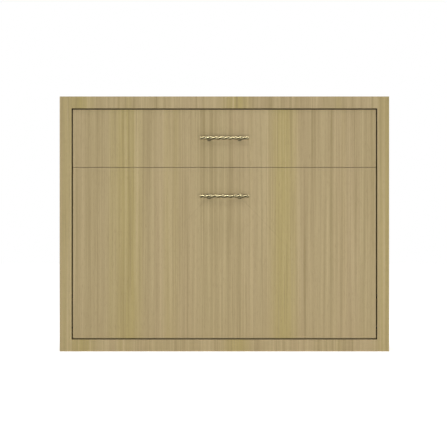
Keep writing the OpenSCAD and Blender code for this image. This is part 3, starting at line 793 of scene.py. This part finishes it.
def swell(piece, held, pressure, most, frames):
    """Fills a sewn cover by a cloth simulation: the stitches stay and the rest swells at most
    a given way. The result is written into the mesh."""
    group = piece.vertex_groups.new(name="stitched")
    group.add(held, 1.0, "REPLACE")
    cloth = piece.modifiers.new("filling", "CLOTH")
    cloth.settings.quality = 5
    cloth.settings.vertex_group_mass = group.name
    cloth.settings.use_pressure = True
    cloth.settings.uniform_pressure_force = pressure
    cloth.settings.effector_weights.gravity = 0
    cloth.collision_settings.use_collision = False
    cloth.point_cache.frame_end = frames
    scene = bpy.context.scene
    for number in range(1, frames + 1):
        scene.frame_set(number)
    count = len(piece.data.vertices)
    start, swollen = np.empty(count * 3), np.empty(count * 3)
    piece.data.vertices.foreach_get("co", start)
    piece.evaluated_get(bpy.context.evaluated_depsgraph_get()).data.vertices.foreach_get(
        "co", swollen)
    piece.modifiers.remove(cloth)
    shift = (swollen - start).reshape(-1, 3)
    length = np.linalg.norm(shift, axis=1, keepdims=True)
    shift *= most * np.tanh(length / most) / np.maximum(length, 1e-9)
    piece.data.vertices.foreach_set("co", (start.reshape(-1, 3) + shift).ravel())
    piece.data.update()
    scene.frame_set(1)


def cord_round(loop, radius, around=8):
    """A closed tube through a loop of points that lies in a plane of constant Y."""
    points, faces = [], []
    count = len(loop)
    up = Vector((0, 1, 0))
    for k in range(count):
        before, here, after = Vector(loop[k - 1]), Vector(loop[k]), Vector(loop[(k + 1) % count])
        out = (after - before).normalized().cross(up)
        for j in range(around):
            angle = 2 * math.pi * j / around
            points.append(here + radius * (math.cos(angle) * out + math.sin(angle) * up))
    for k in range(count):
        for j in range(around):
            a, b = k * around + j, k * around + (j + 1) % around
            c, d = (a + around) % (count * around), (b + around) % (count * around)
            faces.append((a, b, d, c))
    return points, faces


def quilting_stitches(thread):
    """Rows of short threads along the quilting lines of the sleeping side."""
    middle, flat_x, flat_z, count_x, count_z = quilt_grid()
    step_x, step_z = 2 * flat_x / count_x, 2 * flat_z / count_z
    sunk, length, thick, pitch = 5.6 * MM, 4.6 * MM, 0.55 * MM, 7.5 * MM
    level = MATTRESS_HIGH.y - QUILT_ROOM - sunk
    margin = CORNER_R * 0.3
    points, faces = [], []
    rows = int((flat_x / step_x + flat_z / step_z) // QUILT_CELL + 1)
    along_row = round(2 * flat_x / pitch)
    for slope in (-1, 1):
        way = Vector((step_x, 0, slope * step_z)).normalized()
        side = way.cross(Vector((0, 1, 0)))
        for row in range(-rows, rows + 1):
            start = Vector((middle.x + row * QUILT_CELL * step_x, level, middle.z))
            for k in range(-along_row, along_row + 1):
                at = start + way * (k + 0.5) * pitch
                dx, dz = abs(at.x - middle.x), abs(at.z - middle.z)
                if dx > flat_x - margin or dz > flat_z - margin:
                    continue
                n = len(points)
                lift = Vector((0, thick, 0))
                points += [at - way * length / 2, at + way * length / 2, at + side * thick,
                           at - side * thick, at + lift, at - lift]
                faces += [(n, n + 2, n + 4), (n, n + 4, n + 3), (n, n + 3, n + 5),
                          (n, n + 5, n + 2), (n + 1, n + 4, n + 2), (n + 1, n + 3, n + 4),
                          (n + 1, n + 5, n + 3), (n + 1, n + 2, n + 5)]
    stitches = new_piece("mattress_stitches", points, faces, thread)
    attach(stitches, "bed")


def make_mattress():
    """A quilted, sewn cover, filled by simulation, with its edge tapes and stitches."""
    points, faces, held, piping = mattress_shape()
    mattress = new_piece("quilted_mattress", points, faces, ticking("mattress_ticking"))
    swell(mattress, held, pressure=5, most=QUILT_ROOM * 1.15, frames=20)
    smooth = mattress.modifiers.new("smooth", "SUBSURF")
    smooth.levels = smooth.render_levels = 1
    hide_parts("mattress")
    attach(mattress, "bed")
    edge = tape("edge_tape")
    for number, loop in enumerate(piping):
        round_points, round_faces = cord_round(loop, TAPE_R)
        cord = new_piece(f"mattress_edge_tape_{number + 1}", round_points, round_faces, edge)
        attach(cord, "bed")
    quilting_stitches(edge)


def strap_path():
    """The strap's middle line in Y and Z: up one border of the mattress, over it and down."""
    low, high = MATTRESS_LOW, MATTRESS_HIGH
    outside = 0.2 * MM
    corner, steps = EDGE_R, 8
    start, top = low.y, high.y + outside
    bottom, upper = low.z - outside, high.z + outside
    path = [(start, bottom)]
    for k in range(steps + 1):
        angle = k / steps * math.pi / 2
        path.append((top - corner + corner * math.sin(angle),
                     bottom + corner - corner * math.cos(angle)))
    for k in range(steps + 1):
        angle = k / steps * math.pi / 2
        path.append((top - corner + corner * math.cos(angle),
                     upper - corner + corner * math.sin(angle)))
    path.append((start, upper))
    return path


def flat_strap(path, x, width, thick):
    """Webbing along a path in Y and Z: its two selvedges are a little thicker than its middle."""
    section = [(-0.5, -0.30), (-0.5, 0.30), (-0.46, 0.5), (-0.40, 0.36), (0.40, 0.36),
               (0.46, 0.5), (0.5, 0.30), (0.5, -0.30), (0.46, -0.5), (-0.46, -0.5)]
    points = []
    for k, (y, z) in enumerate(path):
        before, after = path[max(0, k - 1)], path[min(len(path) - 1, k + 1)]
        way = Vector((0, after[0] - before[0], after[1] - before[1])).normalized()
        out = Vector((1, 0, 0)).cross(way)
        for across, up in section:
            points.append(Vector((x + across * width, y, z)) + out * up * thick)
    return points, tube_faces(len(path), len(section))


def strap_tail(low, high):
    """The loose end's middle line in Y and Z: through the buckle's lower slot, over its bar and
    down the strap in shallow waves. low and high are the corners of the buckles' box."""
    level = MATTRESS_HIGH.y + 3.2 * MM
    over = high.y + 0.4 * MM
    middle_z = (low.z + high.z) / 2
    return [(level, middle_z - 6 * MM), (over, middle_z - 2 * MM), (over, middle_z + 2 * MM),
            (over - 1 * MM, low.z + 8 * MM), (level + 0.6 * MM, low.z - 6 * MM),
            (level + 2.2 * MM, low.z - 40 * MM), (level, low.z - 110 * MM),
            (level + 1.4 * MM, low.z - 150 * MM)]


def make_straps():
    """Two straps round the mattress, each with the tail that comes back out of its buckle."""
    low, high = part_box("mattress_straps")
    points, faces = [], []
    for x in (low.x + STRAP_W / 2, high.x - STRAP_W / 2):
        for path in (strap_path(), strap_tail(*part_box("strap_buckles"))):
            new_points, new_faces = flat_strap(path, x, STRAP_W, STRAP_T)
            faces += [tuple(v + len(points) for v in face) for face in new_faces]
            points += new_points
    straps = new_piece("webbing_straps", points, faces, webbing("strap_webbing"), smooth=False)
    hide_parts("mattress_straps")
    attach(straps, "bed")


# ---- Fasteners ----

def fastener_shape(head_r, head_t, shank_r, length):
    """A button-head socket screw along +X, with its head's seat at 0. Its rings are (distance,
    radius, 1 where it is hexagonal)."""
    socket = head_r * 0.48
    rings = [(-length, shank_r * 0.7, 0), (-length + 1.2 * MM, shank_r, 0), (0, shank_r, 0),
             (0, head_r * 0.97, 0), (head_t * 0.12, head_r, 0), (head_t * 0.35, head_r * 0.97, 0),
             (head_t * 0.68, head_r * 0.84, 0), (head_t * 0.92, head_r * 0.64, 0),
             (head_t, socket * 1.06, 1), (head_t * 0.9, socket, 1), (head_t * 0.25, socket, 1)]
    around = 36
    points = []
    for distance, radius, hexagonal in rings:
        for j in range(around):
            angle = 2 * math.pi * j / around
            flat = math.cos(math.pi / 6) / math.cos((angle % (math.pi / 3)) - math.pi / 6)
            reach = radius * (flat if hexagonal else 1)
            points.append((distance, reach * math.cos(angle), reach * math.sin(angle)))
    return points, tube_faces(len(rings), around)


def fasteners(name, node, places, sizes, material):
    """Places copies of one screw: each place is where its head sits and the way it points."""
    shape, shape_faces = fastener_shape(*sizes)
    points, faces = [], []
    for at, way in places:
        turn = Vector((1, 0, 0)).rotation_difference(Vector(way))
        faces += [tuple(v + len(points) for v in face) for face in shape_faces]
        points += [Vector(at) + turn @ Vector(p) for p in shape]
    piece = new_piece(name, points, faces, material)
    piece.modifiers.new("corners", "EDGE_SPLIT").split_angle = math.radians(40)
    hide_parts(node)
    return piece


def solid_centres(node, axis):
    """The middle, low end and high end along an axis of each separate solid in a CAD node."""
    mesh = NODES[node].data
    count = len(mesh.vertices)
    places = np.array([v.co for v in mesh.vertices])
    keys, join = np.unique(np.round(places, 5), axis=0, return_inverse=True)
    join = join.ravel()
    parent = list(range(len(keys)))

    def root(k):
        while parent[k] != k:
            parent[k] = parent[parent[k]]
            k = parent[k]
        return k

    for edge in mesh.edges:
        a, b = root(join[edge.vertices[0]]), root(join[edge.vertices[1]])
        parent[a] = b
    groups = {}
    for k in range(count):
        groups.setdefault(root(join[k]), []).append(k)
    out = []
    for members in groups.values():
        own = places[members]
        out.append((Vector((own.min(0) + own.max(0)) / 2), own[:, axis].min(), own[:, axis].max()))
    return sorted(out, key=lambda item: tuple(round(c, 4) for c in item[0]))


def make_fasteners(zinc):
    """Button-head screws and bolts in place of the plain CAD ones. Their heads face inwards on
    the pivot plates (-1), outwards on the bed frame (1) and to the wall behind the pulls (0)."""
    for name, node, body, axis, facing, inset, sizes in (
            ("plate_screws", "pivot_plate_screws", "cabinet", X, -1, 2.5 * MM,
             (5.5 * MM, 2.5 * MM, 2.5 * MM, 16 * MM)),
            ("bed_bolts", "frame_bolts", "bed", X, 1, 3 * MM,
             (7.9 * MM, 2.9 * MM, 3.5 * MM, 60 * MM)),
            ("pull_screws", "handle_screws", "bed", Y, 0, 2.5 * MM,
             (4.5 * MM, 2.5 * MM, 2.0 * MM, 30 * MM))):
        places = []
        for centre, low, high in solid_centres(node, axis):
            sign = facing * (1 if centre.x > 0 else -1) if facing else 1
            at, way = list(centre), [0, 0, 0]
            at[axis] = (high if sign > 0 else low) - sign * inset
            way[axis] = sign
            places.append((at, way))
        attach(fasteners(name, node, places, sizes, zinc), body)


make_stage()
dress_wood()
zinc_finish = dress_hardware()
make_handles()
make_fasteners(zinc_finish)
finish_nodes(("strap_buckles",), plastic("black_plastic"), edge=1.2 * MM)
make_mattress()
make_straps()
